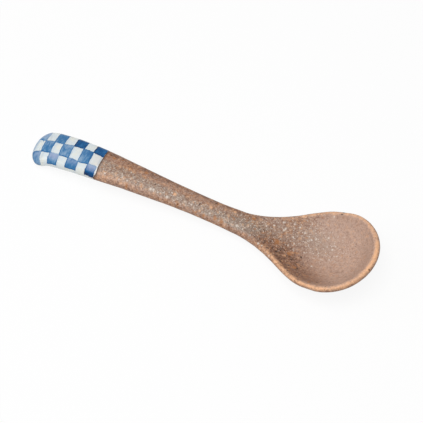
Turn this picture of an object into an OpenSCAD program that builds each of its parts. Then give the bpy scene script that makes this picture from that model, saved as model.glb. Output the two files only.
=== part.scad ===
// Table spoon in brown stoneware. The handle's end is dipped in white glaze
// and painted with a chequer of cobalt squares.
// Millimetres. The spoon points along +X with the origin under mid length,
// Z is up, and it stands on Z = 0 at two bare flats of clay.

/* [Outline] */

// Length over the glaze, handle's end to bowl's end
spoon_len = 145; // [120:1:180]
// Width of the bowl over the rim
bowl_w = 37.7; // [28:0.2:50]
// Width of the handle at its narrowest
neck_w = 9.4; // [7:0.1:14]
// Width of the handle near its end
tip_w = 15.9; // [10:0.1:22]
// Length of the rounding at the handle's end, as seen from above
tip_run = 6; // [4:0.1:10]
// Length of the rounded front of the bowl, from its widest place
front_run = 18; // [12:0.5:26]

/* [Side view] */

// Height of the middle of the edge where the handle arches highest
arch_rise = 6.8; // [4:0.05:20]
// Height of the middle of the edge at the neck
neck_rise = 3.95; // [3:0.05:12]
// Height of the middle of the rim at the bowl's front
rim_rise = 13.65; // [9:0.05:24]
// Depth of the bowl, measured at mid wall below the rim
bowl_depth = 7.5; // [4:0.1:12]
// How far the middle of the wall arches above its edges across the handle
handle_crown = 0.25; // [0:0.05:1.5]

/* [Wall] */

// Thickness of the handle just behind its end
tip_t = 7.3; // [4:0.1:10]
// Thickness of the handle at mid length
handle_t = 6.2; // [4:0.1:9]
// Thickness of the neck where it opens into the bowl
neck_t = 5; // [3:0.1:8]
// Thickness of the bowl at its floor
floor_t = 3.3; // [2:0.1:5]
// Radius of the rounded edge at the handle's end
tip_edge_r = 2.6; // [1.6:0.05:3.4]
// Radius of the rounded edge along the handle
edge_r = 2.6; // [1.6:0.05:3.2]
// Radius of the rounded rim round the bowl
rim_r = 1.45; // [1:0.05:2]

/* [Glaze] */

// Thickness of the brown and the white glaze
glaze_t = 0.35; // [0.2:0.01:0.6]
// Thickness of the cobalt paint on the white glaze
paint_t = 0.12; // [0.06:0.01:0.2]

/* [Chequer] */

// Number of squares along the handle
checks_along = 7; // [3:1:12]
// Length of the first square, which turns over the handle's end
first_check = 6.3; // [5:0.1:9]
// Length of one of the other squares along the handle
check_pitch = 3.82; // [2.5:0.02:6]
// Width of the middle row of squares
check_row_w = 5.5; // [3:0.1:8]
// How far the middle row is painted off the middle, towards the near edge
row_shift = 1; // [0:0.1:1.5]
// White glaze left plain past the last square
cap_margin = 0.5; // [0.4:0.05:4]

/* [Standing] */

// Depth of clay rubbed off where the spoon stands
rub_t = 0.3; // [0.1:0.05:0.6]
// Distance from the bowl's front back to the middle of its flat
foot_inset = 28; // [24:0.5:34]
// Length of the flat under the bowl
foot_l = 17; // [8:0.5:24]
// Width of the flat under the bowl
foot_w = 8.4; // [4:0.2:14]
// Width of the flat under the handle's end
tip_flat_w = 4.4; // [2:0.1:6]
// Clay left bare of glaze round the bowl's flat
foot_margin = 4; // [2:0.1:6]
// Clay left bare of glaze on both sides of the flat under the handle's end
tip_margin = 1.8; // [1:0.1:3]

/* [Hidden] */

// Node to draw, or all of them

// Lengths that follow from the sizes above
checks_end = first_check + (checks_along - 1) * check_pitch;
cap_len = checks_end + cap_margin;
tip_pole = tip_edge_r;
front_pole = spoon_len - rim_r;
widest_x = spoon_len - front_run;
foot_x = spoon_len - foot_inset;
foot_back = foot_x - foot_l / 2;
foot_front = foot_x + foot_l / 2;
bare_back = foot_back - foot_margin;
bare_front = foot_front + foot_margin;

// Each profile is a smooth line through a few points, given as a share of the
// length and a share of one size

// Half width over the glaze
tip_width_shares = [[0, 1.18], [0.048, 1], [0.11, 0.96], [0.193, 0.897]];
neck_width_shares = [[0.317, 1.25], [0.428, 1.07], [0.524, 1], [0.593, 1.065], [0.634, 1.165]];
bowl_width_shares = [[0.669, 0.357], [0.71, 0.476], [0.752, 0.643], [0.793, 0.825], [0.834, 0.955]];
width_line = concat(
    sized(tip_width_shares, tip_w / 2),
    sized(neck_width_shares, neck_w / 2),
    sized(bowl_width_shares, bowl_w / 2),
    [[widest_x, bowl_w / 2], [spoon_len, bowl_w / 2]]
);

// Depth of mid width below the edge; the handle's crown counts as less than nothing
crown_shares = [[0.034, 0.5], [0.083, 1], [0.414, 0.87], [0.593, 0.62]];
throat_depth_shares = [[0.641, 0], [0.69, 0.16], [0.731, 0.36], [0.772, 0.547], [0.814, 0.733]];
floor_depth_shares = [[0.855, 0.907], [0.897, 1], [0.931, 0.933], [0.959, 0.707]];
hollow_line = concat(
    [[tip_pole, 0]],
    sized(crown_shares, -handle_crown),
    sized(throat_depth_shares, bowl_depth),
    sized(floor_depth_shares, bowl_depth),
    [[front_pole, 0]]
);

// Thickness over the glaze at mid width
tip_thickness_shares = [[0.031, 0.986], [0.055, 1], [0.097, 0.92], [0.166, 0.863]];
handle_thickness_shares = [[0.276, 1], [0.552, 0.88]];
neck_thickness_shares = [[0.634, 1], [0.69, 0.86], [0.745, 0.74]];
floor_thickness_shares = [[0.814, 1.03], [0.897, 0.97], [0.952, 0.91]];
thickness_line = concat(
    [[tip_pole, 2 * tip_edge_r]],
    sized(tip_thickness_shares, tip_t),
    sized(handle_thickness_shares, handle_t),
    sized(neck_thickness_shares, neck_t),
    sized(floor_thickness_shares, floor_t),
    [[front_pole, 2 * rim_r]]
);

// Radius of the rounded edge over the glaze
tip_edge_shares = [[0, 1], [0.055, 1.03]];
handle_edge_shares = [[0.2, 1.02], [0.524, 0.88], [0.634, 0.82]];
rim_shares = [[0.69, 1.17], [0.738, 1], [1, 1]];
edge_line = concat(
    sized(tip_edge_shares, tip_edge_r),
    sized(handle_edge_shares, edge_r),
    sized(rim_shares, rim_r)
);

// Height of the middle of the edge above the table. The spoon is low enough at
// its handle's end and at its foot for the clay to be rubbed flat there
tip_rise = tip_t / 2 - glaze_t - rub_t - handle_crown / 2;
foot_rise = along(hollow_line, foot_x) + along(thickness_line, foot_x) / 2 - glaze_t - rub_t;
tip_rise_shares = [[0, 1.22], [0.028, 1]];
arch_climb_shares = [[0.055, 0.43], [0.097, 0.76], [0.166, 0.957], [0.248, 1]];
neck_climb_shares = [[0.359, 0.79], [0.469, 0.5], [0.566, 0.15], [0.634, 0]];
foot_climb_shares = [[0.69, 0.11], [0.745, 0.35]];
rim_climb_shares = [[0.855, 0.243], [0.91, 0.552], [0.966, 0.813], [1, 1]];
rise_line = concat(
    sized(tip_rise_shares, tip_rise),
    climb(arch_climb_shares, tip_rise, arch_rise),
    climb(neck_climb_shares, neck_rise, arch_rise),
    climb(foot_climb_shares, neck_rise, foot_rise),
    [[foot_x, foot_rise]],
    climb(rim_climb_shares, foot_rise, rim_rise)
);

// Power of the curve across the bowl, higher for a flatter floor
floor_power = 2.2;
// Power of the swell from the edge to mid width, higher for a narrower swell
swell_power = 1.5;
// Where grid lines run between the middle row and the edge on top
top_line_shares = [0.3, 0.58, 0.82, 1];
// Where grid lines run between the bare clay and the edge below
under_line_shares = [0.35, 0.7, 1];
// First two lines below where nothing is rubbed flat or left bare
plain_shares = [0.15, 0.32];
// Width of an oval that is left at its two ends
oval_end_share = 0.35;
// Widest that the middle row and the bare clay may be, as shares of the width
row_max_share = 0.93;
bare_max_share = 0.75;
// Step of the run over which a direction is measured
step_share = 0.001;
// How near to its two ends the run's direction is still measured
pole_share = 0.02;

// Counts of grid steps along each stretch, and of facets round the edge
tip_steps = 6;
steps_per_check = 2;
handle_steps = 11;
throat_steps = 6;
foot_steps = 8;
front_steps = 11;
edge_facets = 9;
// Facets of the rounded edge that the outer squares cover, on each side
near_paint_facets = 4;
far_paint_facets = 3;
// End of the plain handle, where the finer steps of the bowl begin
handle_end = min(neck_width_shares[4][0] * spoon_len, bare_back - foot_margin);

// Stations along the run. A turn of the run is 0 to 1 in the rounding of the
// handle's end, 1 to 2 along the straight and 2 to 3 in the front of the bowl
first_turn = turn_at(first_check);
front_turn = turn_at(bare_front);
stations = concat(
    [for (i = [0 : tip_steps - 1]) first_turn * i / tip_steps],
    turns(first_check, checks_end, (checks_along - 1) * steps_per_check),
    [turn_at(checks_end)],
    turns(cap_len, handle_end, handle_steps),
    turns(handle_end, bare_back, throat_steps),
    [turn_at(bare_back)],
    turns(foot_back, foot_front, foot_steps),
    [turn_at(foot_front)],
    [for (i = [0 : front_steps]) front_turn + (3 - front_turn) * i / front_steps]
);
last = len(stations) - 1;

// Stations where each region begins and ends
cap_last = tip_steps + (checks_along - 1) * steps_per_check + 1;
foot_first = cap_last + handle_steps + throat_steps + 1;
foot_last = foot_first + foot_steps;
tip_flat_first = tip_steps - 3;
tip_flat_last = tip_steps - 2;
tip_bare_first = 2;
tip_bare_last = tip_steps;

// Lines round one loop: over the top from near to far, round the far edge,
// back below and up round the near edge
top_n = 2 * (2 + len(top_line_shares)) + 1;
under_n = 2 * (2 + len(under_line_shares)) + 1;
edge_n = edge_facets - 1;
far_first = top_n;
under_first = far_first + edge_n;
near_first = under_first + under_n;
loop_n = near_first + edge_n;
top_mid = (top_n - 1) / 2;
under_mid = under_first + (under_n - 1) / 2;
row_near = top_mid - 2;
row_far = top_mid + 2;

// Points of a profile in real sizes, as shares of a size or of a climb
function sized(shares, size) = [for (p = shares) [p[0] * spoon_len, p[1] * size]];
function climb(shares, low, high) =
    [for (p = shares) [p[0] * spoon_len, low + p[1] * (high - low)]];

// Smooth line through points given as [distance, value]
function span(t, i) = t[i + 1][0] - t[i][0];
function rate(t, i) = (t[i + 1][1] - t[i][1]) / span(t, i);
function slope(t, i) =
    i == 0 ? rate(t, 0) :
    i == len(t) - 1 ? rate(t, i - 1) :
    (rate(t, i - 1) * span(t, i) + rate(t, i) * span(t, i - 1)) / (span(t, i - 1) + span(t, i));
function piece_at(t, x, i = 0) = i >= len(t) - 2 || x < t[i + 1][0] ? i : piece_at(t, x, i + 1);
function along(t, x) =
    let (i = piece_at(t, x), h = span(t, i), u = (x - t[i][0]) / h, v = 1 - u)
    t[i][1] * (1 + 2 * u) * v * v + slope(t, i) * h * u * v * v
    + t[i + 1][1] * (1 + 2 * v) * u * u - slope(t, i + 1) * h * u * u * v;

// Distance along for a turn of the run, and the turn for a distance
function run_at(g) =
    g < 1 ? tip_pole + (tip_run - tip_pole) * (1 - cos(90 * g)) :
    g < 2 ? tip_run + (widest_x - tip_run) * (g - 1) :
    widest_x + (front_pole - widest_x) * sin(90 * (g - 2));
function turn_at(x) =
    x < tip_run ? acos(1 - (x - tip_pole) / (tip_run - tip_pole)) / 90 :
    x < widest_x ? 1 + (x - tip_run) / (widest_x - tip_run) :
    2 + asin(min(1, (x - widest_x) / (front_pole - widest_x))) / 90;
function turns(x0, x1, n) = [for (i = [0 : n - 1]) turn_at(x0 + (x1 - x0) * i / n)];

// Share of the full width that the two rounded ends leave
function end_share(g) = g < 1 ? sin(90 * g) : g < 2 ? 1 : max(0, cos(90 * (g - 2)));

// Half width of the mid wall, and a point of it, with s from -1 at the near
// edge to 1 at the far edge
function mid_half(g) =
    let (x = run_at(g)) (along(width_line, x) - along(edge_line, x)) * end_share(g);
function mid_point(g, s) =
    let (x = run_at(g), bend = 1 - pow(abs(s), floor_power))
    [x - spoon_len / 2, mid_half(g) * s, along(rise_line, x) - along(hollow_line, x) * bend];

// Direction square to the mid wall, pointing up
function unit(v) = v / norm(v);
function up_dir(g, s) =
    let (
        a = max(pole_share, min(3 - pole_share, g)),
        lo = max(-1, s - step_share),
        hi = min(1, s + step_share)
    )
    unit(cross(
        mid_point(a + step_share, s) - mid_point(a - step_share, s),
        mid_point(a, hi) - mid_point(a, lo)
    ));

// Direction out of the edge on the side given as -1 or 1; at both ends of the
// spoon the edge runs straight across
function edge_run(g, side) =
    g <= 0 ? [0, side, 0] :
    g >= 3 ? [0, -side, 0] :
    mid_point(min(3, g + step_share), side) - mid_point(max(0, g - step_share), side);
function out_dir(g, side) = unit(side * cross(up_dir(g, side), edge_run(g, side)));

// Half thickness over the glaze
function half_t(g, s) =
    let (x = run_at(g), r = along(edge_line, x))
    r + (along(thickness_line, x) / 2 - r) * pow(max(0, 1 - s * s), swell_power);

// Shares of the half width where the lines of one station run; the middle row
// of squares has one width all along
function row_share(g, side) =
    let (half = mid_half(min(turn_at(cap_len), max(pole_share, g))))
    min(row_max_share, (check_row_w / 2 - side * row_shift) / half);
function oval(g, l, w) =
    let (u = (run_at(g) - foot_x) * 2 / l)
    w / 2 / mid_half(g) * max(oval_end_share, sqrt(max(0, 1 - u * u)));
function foot_shares(g) =
    [oval(g, foot_l, foot_w), oval(g, foot_l + 2 * foot_margin, foot_w + 2 * foot_margin)];
function tip_shares(g) =
    let (bare = min(bare_max_share, (tip_flat_w / 2 + tip_margin) / mid_half(g)))
    [bare * tip_flat_w / (tip_flat_w + 2 * tip_margin), bare];
function first_shares(i) =
    i >= foot_first - 1 && i <= foot_last + 1 ? foot_shares(stations[i]) :
    i >= tip_bare_first && i <= tip_bare_last ? tip_shares(stations[i]) :
    plain_shares;
function backwards(v) = [for (j = [len(v) - 1 : -1 : 0]) v[j]];
function past(first, shares) = [for (q = shares) first + (1 - first) * q];
function top_half(r) = concat([r / 2, r], past(r, top_line_shares));
function under_half(first) = concat(first, past(first[1], under_line_shares));
function top_lines(g) =
    concat(-backwards(top_half(row_share(g, -1))), [0], top_half(row_share(g, 1)));
function under_lines(i) =
    let (half = under_half(first_shares(i))) concat(-backwards(half), [0], half);

// One loop of the grid, as anchors on the mid wall, directions and reaches
function wall_reach(g, s, side) = [mid_point(g, s), side * up_dir(g, s), half_t(g, s)];
function edge_reaches(g, side) =
    let (m = mid_point(g, side), n = up_dir(g, side), c = out_dir(g, side), r = half_t(g, side))
    [for (j = [1 : edge_n]) let (a = 180 * j / edge_facets) [m, cos(a) * n + sin(a) * c, r]];
function loop_reaches(i) =
    let (g = stations[i])
    concat(
        [for (s = top_lines(g)) wall_reach(g, s, 1)],
        edge_reaches(g, 1),
        [for (s = backwards(under_lines(i))) wall_reach(g, s, -1)],
        backwards(edge_reaches(g, -1))
    );
grid = [for (i = [0 : last]) each loop_reaches(i)];

// Surfaces of the spoon: a lift of nothing is the glaze's own surface
function laid_off(lift) = [for (p = grid) p[0] + (p[2] + lift) * p[1]];
clay_surface = laid_off(-glaze_t);
glaze_surface = laid_off(0);
paint_surface = laid_off(paint_t);
// The clay as it is rubbed flat where it stands
function is_flat(i, j) =
    abs(j - under_mid) <= 1
    && ((i >= foot_first && i <= foot_last) || (i >= tip_flat_first && i <= tip_flat_last));
function rubbed(n) =
    let (p = clay_surface[n], i = floor(n / loop_n), j = n % loop_n)
    [p[0], p[1], is_flat(i, j) ? 0 : p[2]];
rubbed_surface = [for (n = [0 : len(grid) - 1]) rubbed(n)];

// Number of a grid point; lines that meet at an end of the spoon share one
function meeting_line(j) =
    j < top_n ? top_mid :
    j >= near_first ? far_first + loop_n - 1 - j :
    j >= under_first ? under_mid : j;
function number(i, j) =
    let (k = j % loop_n) i * loop_n + (i == 0 || i == last ? meeting_line(k) : k);

// Triangles over one cell of the grid, mirrored between the two sides
function is_near(j) = j < top_mid || j >= under_mid;
function is_whole(t) = t[0] != t[1] && t[1] != t[2] && t[2] != t[0];
function cell(i, j) =
    let (
        a = number(i, j),
        b = number(i, j + 1),
        c = number(i + 1, j + 1),
        d = number(i + 1, j),
        pair = is_near(j) ? [[a, b, c], [a, c, d]] : [[b, c, d], [b, d, a]]
    )
    [for (t = pair) if (is_whole(t)) t];

// Whether a cell belongs to a coat. An area is its first and last station,
// its first line and its count of cells round the loop
function is_bare(i, j) =
    j >= under_mid - 2 && j < under_mid + 2
    && ((i >= foot_first - 1 && i <= foot_last) || (i >= tip_bare_first && i < tip_bare_last));
function is_coated(i, j, area) =
    i >= area[0] && i < area[1]
    && (j - area[2] + loop_n) % loop_n < area[3]
    && !is_bare(i, j % loop_n);

// Wall between the inner and the outer surface along one side of a cell,
// split the same way whichever coat it belongs to
function wall(a, b, up) =
    a == b ? [] :
    a < b ? [[a, b, b + up], [a, b + up, a + up]] :
    [[a, b, a + up], [b, b + up, a + up]];
function cell_walls(i, j, area, up) = [
    if (i > 0 && !is_coated(i - 1, j, area)) each wall(number(i, j), number(i, j + 1), up),
    if (i < last - 1 && !is_coated(i + 1, j, area))
        each wall(number(i + 1, j + 1), number(i + 1, j), up),
    if (!is_coated(i, j + loop_n - 1, area)) each wall(number(i + 1, j), number(i, j), up),
    if (!is_coated(i, j + 1, area)) each wall(number(i, j + 1), number(i + 1, j + 1), up)
];

// Solid inside one surface
module filled(points) {
    polyhedron(points, [for (i = [0 : last - 1], j = [0 : loop_n - 1]) each cell(i, j)]);
}

// Coat between two surfaces over an area of the grid
module coat(inner, outer, area) {
    up = len(inner);
    cells = [for (i = [area[0] : area[1] - 1], j = [0 : loop_n - 1])
        if (is_coated(i, j, area)) [i, j]];
    skin = [for (c = cells) each cell(c[0], c[1])];
    faces = concat(
        [for (t = skin) [t[0] + up, t[1] + up, t[2] + up]],
        [for (t = skin) backwards(t)],
        [for (c = cells) each cell_walls(c[0], c[1], area, up)]
    );
    polyhedron(concat(inner, outer), faces);
}

// Fired clay, from the handle's end to the bowl in one piece
module stoneware_body() {
    color("#9c7a63") filled(rubbed_surface);
}

// Brown glaze over the bowl and the handle, up to the white
module brown_glaze() {
    color("#8a6c58") coat(clay_surface, glaze_surface, [cap_last, last, 0, loop_n]);
}

// White glaze over the handle's end
module white_glaze() {
    color("#e8f0f0") coat(clay_surface, glaze_surface, [0, cap_last, 0, loop_n]);
}

// One course of painted squares, two in odd courses and one in even courses.
// The outer squares run on round the edge
module cobalt_course(k) {
    from = k == 1 ? 1 : tip_steps + (k - 2) * steps_per_check;
    to = tip_steps + (k - 1) * steps_per_check;
    rows = k % 2 == 1 ?
        [
            [row_far, far_first - row_far - 1 + far_paint_facets],
            [loop_n - near_paint_facets, near_paint_facets + row_near]
        ] :
        [[row_near, row_far - row_near]];
    color("#3f6fae")
        for (r = rows)
            coat(glaze_surface, paint_surface, [from, to, r[0], r[1]]);
}

stoneware_body();
brown_glaze();
white_glaze();
for (k = [1 : checks_along])
    cobalt_course(k);
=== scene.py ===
"""A ceramic spoon with a chequered handle, dressed over its frame.

The clay, the two glazes and the painted squares are surfaces worked out from
the same outline and side view as the frame's solids, with the small unevenness
of hand work. The script is laid out as an add-on: sizes and colours are
properties, and each piece has an operator.
"""

import math

import bpy
import numpy as np
from bpy.props import FloatProperty, FloatVectorProperty, IntProperty, PointerProperty
from mathutils import Matrix, Vector


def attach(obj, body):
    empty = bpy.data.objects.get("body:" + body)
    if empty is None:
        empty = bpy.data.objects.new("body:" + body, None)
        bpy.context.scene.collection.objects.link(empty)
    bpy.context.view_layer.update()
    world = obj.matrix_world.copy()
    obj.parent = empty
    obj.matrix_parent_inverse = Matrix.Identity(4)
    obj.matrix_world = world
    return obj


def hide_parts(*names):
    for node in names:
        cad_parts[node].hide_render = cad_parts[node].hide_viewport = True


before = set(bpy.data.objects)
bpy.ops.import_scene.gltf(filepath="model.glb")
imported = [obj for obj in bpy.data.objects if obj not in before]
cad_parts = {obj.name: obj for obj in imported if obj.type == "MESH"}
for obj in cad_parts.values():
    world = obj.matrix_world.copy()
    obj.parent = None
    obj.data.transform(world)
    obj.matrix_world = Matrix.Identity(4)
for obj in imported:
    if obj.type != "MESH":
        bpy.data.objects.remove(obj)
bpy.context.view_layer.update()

bl_info = {
    "name": "Ceramic Spoon",
    "version": (1, 0, 0),
    "blender": (4, 5, 0),
    "location": "View3D > Sidebar > Spoon",
    "description": "Stoneware spoon with a brown glaze and a chequered handle",
    "category": "Object",
}

MM = 0.001
TAU = 2 * math.pi


def linear(code):
    """An sRGB hex colour such as "a58773" as linear red, green and blue."""
    parts = [int(code[i : i + 2], 16) / 255 for i in (0, 2, 4)]
    return [p / 12.92 if p <= 0.04045 else ((p + 0.055) / 1.055) ** 2.4 for p in parts]


def length(name, description, millimetres):
    """A size of the spoon as a property, kept in metres."""
    default = millimetres * MM
    return FloatProperty(
        name=name, description=description, default=default, min=0.0, unit="LENGTH", precision=5
    )


def colour(name, description, code):
    """A colour of the spoon as a property."""
    default = linear(code)
    return FloatVectorProperty(
        name=name, description=description, default=default, min=0.0, max=1.0, subtype="COLOR"
    )


class SpoonSizes(bpy.types.PropertyGroup):
    """Sizes of the spoon, the same as its frame's."""

    spoon_len: length("Length", "Length over the glaze", 145)
    bowl_w: length("Bowl width", "Width of the bowl over the rim", 37.7)
    neck_w: length("Neck width", "Width of the handle at its narrowest", 9.4)
    tip_w: length("Handle width", "Width of the handle near its end", 15.9)
    tip_run: length("End rounding", "Length of the rounding at the handle's end", 6)
    front_run: length("Front rounding", "Length of the rounded front of the bowl", 18)
    arch_rise: length("Arch height", "Height of the edge at the top of the arch", 6.8)
    neck_rise: length("Neck height", "Height of the edge at the neck", 3.95)
    rim_rise: length("Rim height", "Height of the rim at the bowl's front", 13.65)
    bowl_depth: length("Bowl depth", "Depth of the bowl below its rim", 7.5)
    handle_crown: length("Crown", "Arch of the handle across its width", 0.25)
    tip_t: length("End thickness", "Thickness behind the handle's end", 7.3)
    handle_t: length("Handle thickness", "Thickness of the handle at mid length", 6.2)
    neck_t: length("Neck thickness", "Thickness where the neck opens", 5)
    floor_t: length("Bowl thickness", "Thickness of the bowl's floor", 3.3)
    tip_edge_r: length("End edge", "Radius of the edge at the handle's end", 2.6)
    edge_r: length("Handle edge", "Radius of the edge along the handle", 2.6)
    rim_r: length("Rim", "Radius of the rounded rim", 1.45)
    glaze_t: length("Glaze", "Thickness of the glaze", 0.35)
    rub_t: length("Rubbed depth", "Depth of clay rubbed off underneath", 0.3)
    foot_inset: length("Foot place", "From the bowl's front to its foot", 28)
    foot_l: length("Foot length", "Length of the bare clay under the bowl", 25)
    foot_w: length("Foot width", "Width of the bare clay under the bowl", 16.4)
    tip_foot_x: length("End foot place", "From the handle's end to its foot", 4.5)
    tip_foot_l: length("End foot length", "Length of the bare clay at the end", 3.6)
    tip_foot_w: length("End foot width", "Width of the bare clay at the end", 8)


class SpoonPaint(bpy.types.PropertyGroup):
    """The chequer painted on the handle's end."""

    courses: IntProperty(
        name="Courses", description="Courses of squares along the handle", default=7, min=1
    )
    first: length("First square", "Length of the first square, over the handle's end", 6.3)
    pitch: length("Square", "Length of one square along the handle", 3.82)
    row_near: length("Near line", "Near side of the middle row, from the middle", 3.65)
    row_far: length("Far line", "Far side of the middle row, from the middle", 1.7)
    margin: length("Margin", "White glaze past the last square", 0.5)
    spread: length("Spread", "How far the brush goes over a square's lines", 0.27)
    lift: length("Paint", "Height of the paint over the glaze", 0.045)
    uneven: length("Brush wander", "How far a painted edge wanders", 0.09)


class SpoonColours(bpy.types.PropertyGroup):
    """Colours of the spoon."""

    brown: colour("Brown", "Iron glaze over most of the spoon", "a68370")
    # Mauve also stands for painted light: it lightens the bowl towards its front and the handle's
    # near side
    mauve: colour("Mauve", "Iron glaze over the open bowl", "bb9c8b")
    grey: colour("Grey brown", "Iron glaze where it lies thick", "8c8074")
    umber: colour("Umber", "Iron glaze where iron gathers", "744c35")
    # The rim's tan band is partly this thinned glaze and partly a painted highlight on the near
    # side
    tan: colour("Tan", "Iron glaze where it thins over the rim", "f6be91")
    rust: colour("Rust", "Patches of rust in the iron glaze", "aa7143")
    pale: colour("Pale grains", "Feldspar grains in the iron glaze", "d8ccc0")
    dark: colour("Iron specks", "Specks of iron in the glaze", "38241a")
    clay: colour("Clay", "Bare fired clay", "b08a6c")
    white: colour("White", "White glaze on the handle's end", "d3dde2")
    cream: colour("Cream", "White glaze where it lies thick", "dddfd8")
    cobalt_pale: colour("Thin cobalt", "Cobalt where the wash is thin", "92acc6")
    cobalt: colour("Cobalt", "Cobalt wash", "467caa")
    cobalt_deep: colour("Deep cobalt", "Cobalt where the wash pools", "00558e")
    cobalt_pool: colour("Pooled cobalt", "Cobalt where the wash stands", "12305a")
    # Painted reflection: a pale lavender veil that stands for a lamp's reflection in the glaze
    # over the squares' upper part
    milk: colour("Milky glaze", "Glaze that lies thick over the cobalt", "9fa6c6")
    floor: colour("Floor", "Floor and backdrop", "f4f4f4")


# Each line gives a share of the length and a share of one size, as the frame's do
TIP_WIDTH = [[0, 1.18], [0.048, 1], [0.11, 0.96], [0.193, 0.897]]
NECK_WIDTH = [[0.317, 1.25], [0.428, 1.07], [0.524, 1], [0.593, 1.065], [0.634, 1.165]]
BOWL_WIDTH = [[0.669, 0.357], [0.71, 0.476], [0.752, 0.643], [0.793, 0.825], [0.834, 0.955]]
CROWN = [[0.034, 0.5], [0.083, 1], [0.414, 0.87], [0.593, 0.62]]
THROAT = [[0.641, 0], [0.69, 0.16], [0.731, 0.36], [0.772, 0.547], [0.814, 0.733]]
FLOOR = [[0.855, 0.907], [0.897, 1], [0.931, 0.933], [0.959, 0.707]]
TIP_THICK = [[0.031, 0.986], [0.055, 1], [0.097, 0.92], [0.166, 0.863]]
HANDLE_THICK = [[0.276, 1], [0.552, 0.88]]
NECK_THICK = [[0.634, 1], [0.69, 0.86], [0.745, 0.74]]
FLOOR_THICK = [[0.814, 1.03], [0.897, 0.97], [0.952, 0.91]]
TIP_EDGE = [[0, 1], [0.055, 1.03]]
HANDLE_EDGE = [[0.2, 1.02], [0.524, 0.88], [0.634, 0.82]]
RIM_EDGE = [[0.69, 1.17], [0.738, 1], [1, 1]]
TIP_RISE = [[0, 1.22], [0.028, 1]]
ARCH_CLIMB = [[0.055, 0.43], [0.097, 0.76], [0.166, 0.957], [0.248, 1]]
NECK_CLIMB = [[0.359, 0.79], [0.469, 0.5], [0.566, 0.15], [0.634, 0]]
FOOT_CLIMB = [[0.69, 0.11], [0.745, 0.35]]
RIM_CLIMB = [[0.855, 0.243], [0.91, 0.552], [0.966, 0.813], [1, 1]]
FLOOR_POWER = 2.2
SWELL_POWER = 1.5
# Depth of the waves of hand forming, the most that they add up to, and the room
# that the frame's facets need, in millimetres
HAND_DEPTH, WAVES_TOP, FACET_GAP = 0.022, 2.7, 0.03


def along(line, x):
    """Smooth line through given points: a cubic between each two, with the slope at a point the
    mean of those on both sides, each weighted by the other's length.
    """
    px, py = np.array(line, float).T
    h = np.diff(px)
    rate = np.diff(py) / h
    inner = (rate[:-1] * h[1:] + rate[1:] * h[:-1]) / (h[:-1] + h[1:])
    slope = np.concatenate([rate[:1], inner, rate[-1:]])
    i = np.clip(np.searchsorted(px, x, side="right") - 1, 0, len(h) - 1)
    u = (x - px[i]) / h[i]
    v = 1 - u
    start = py[i] * (1 + 2 * u) * v * v + slope[i] * h[i] * u * v * v
    return start + py[i + 1] * (1 + 2 * v) * u * u - slope[i + 1] * h[i] * u * u * v


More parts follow.
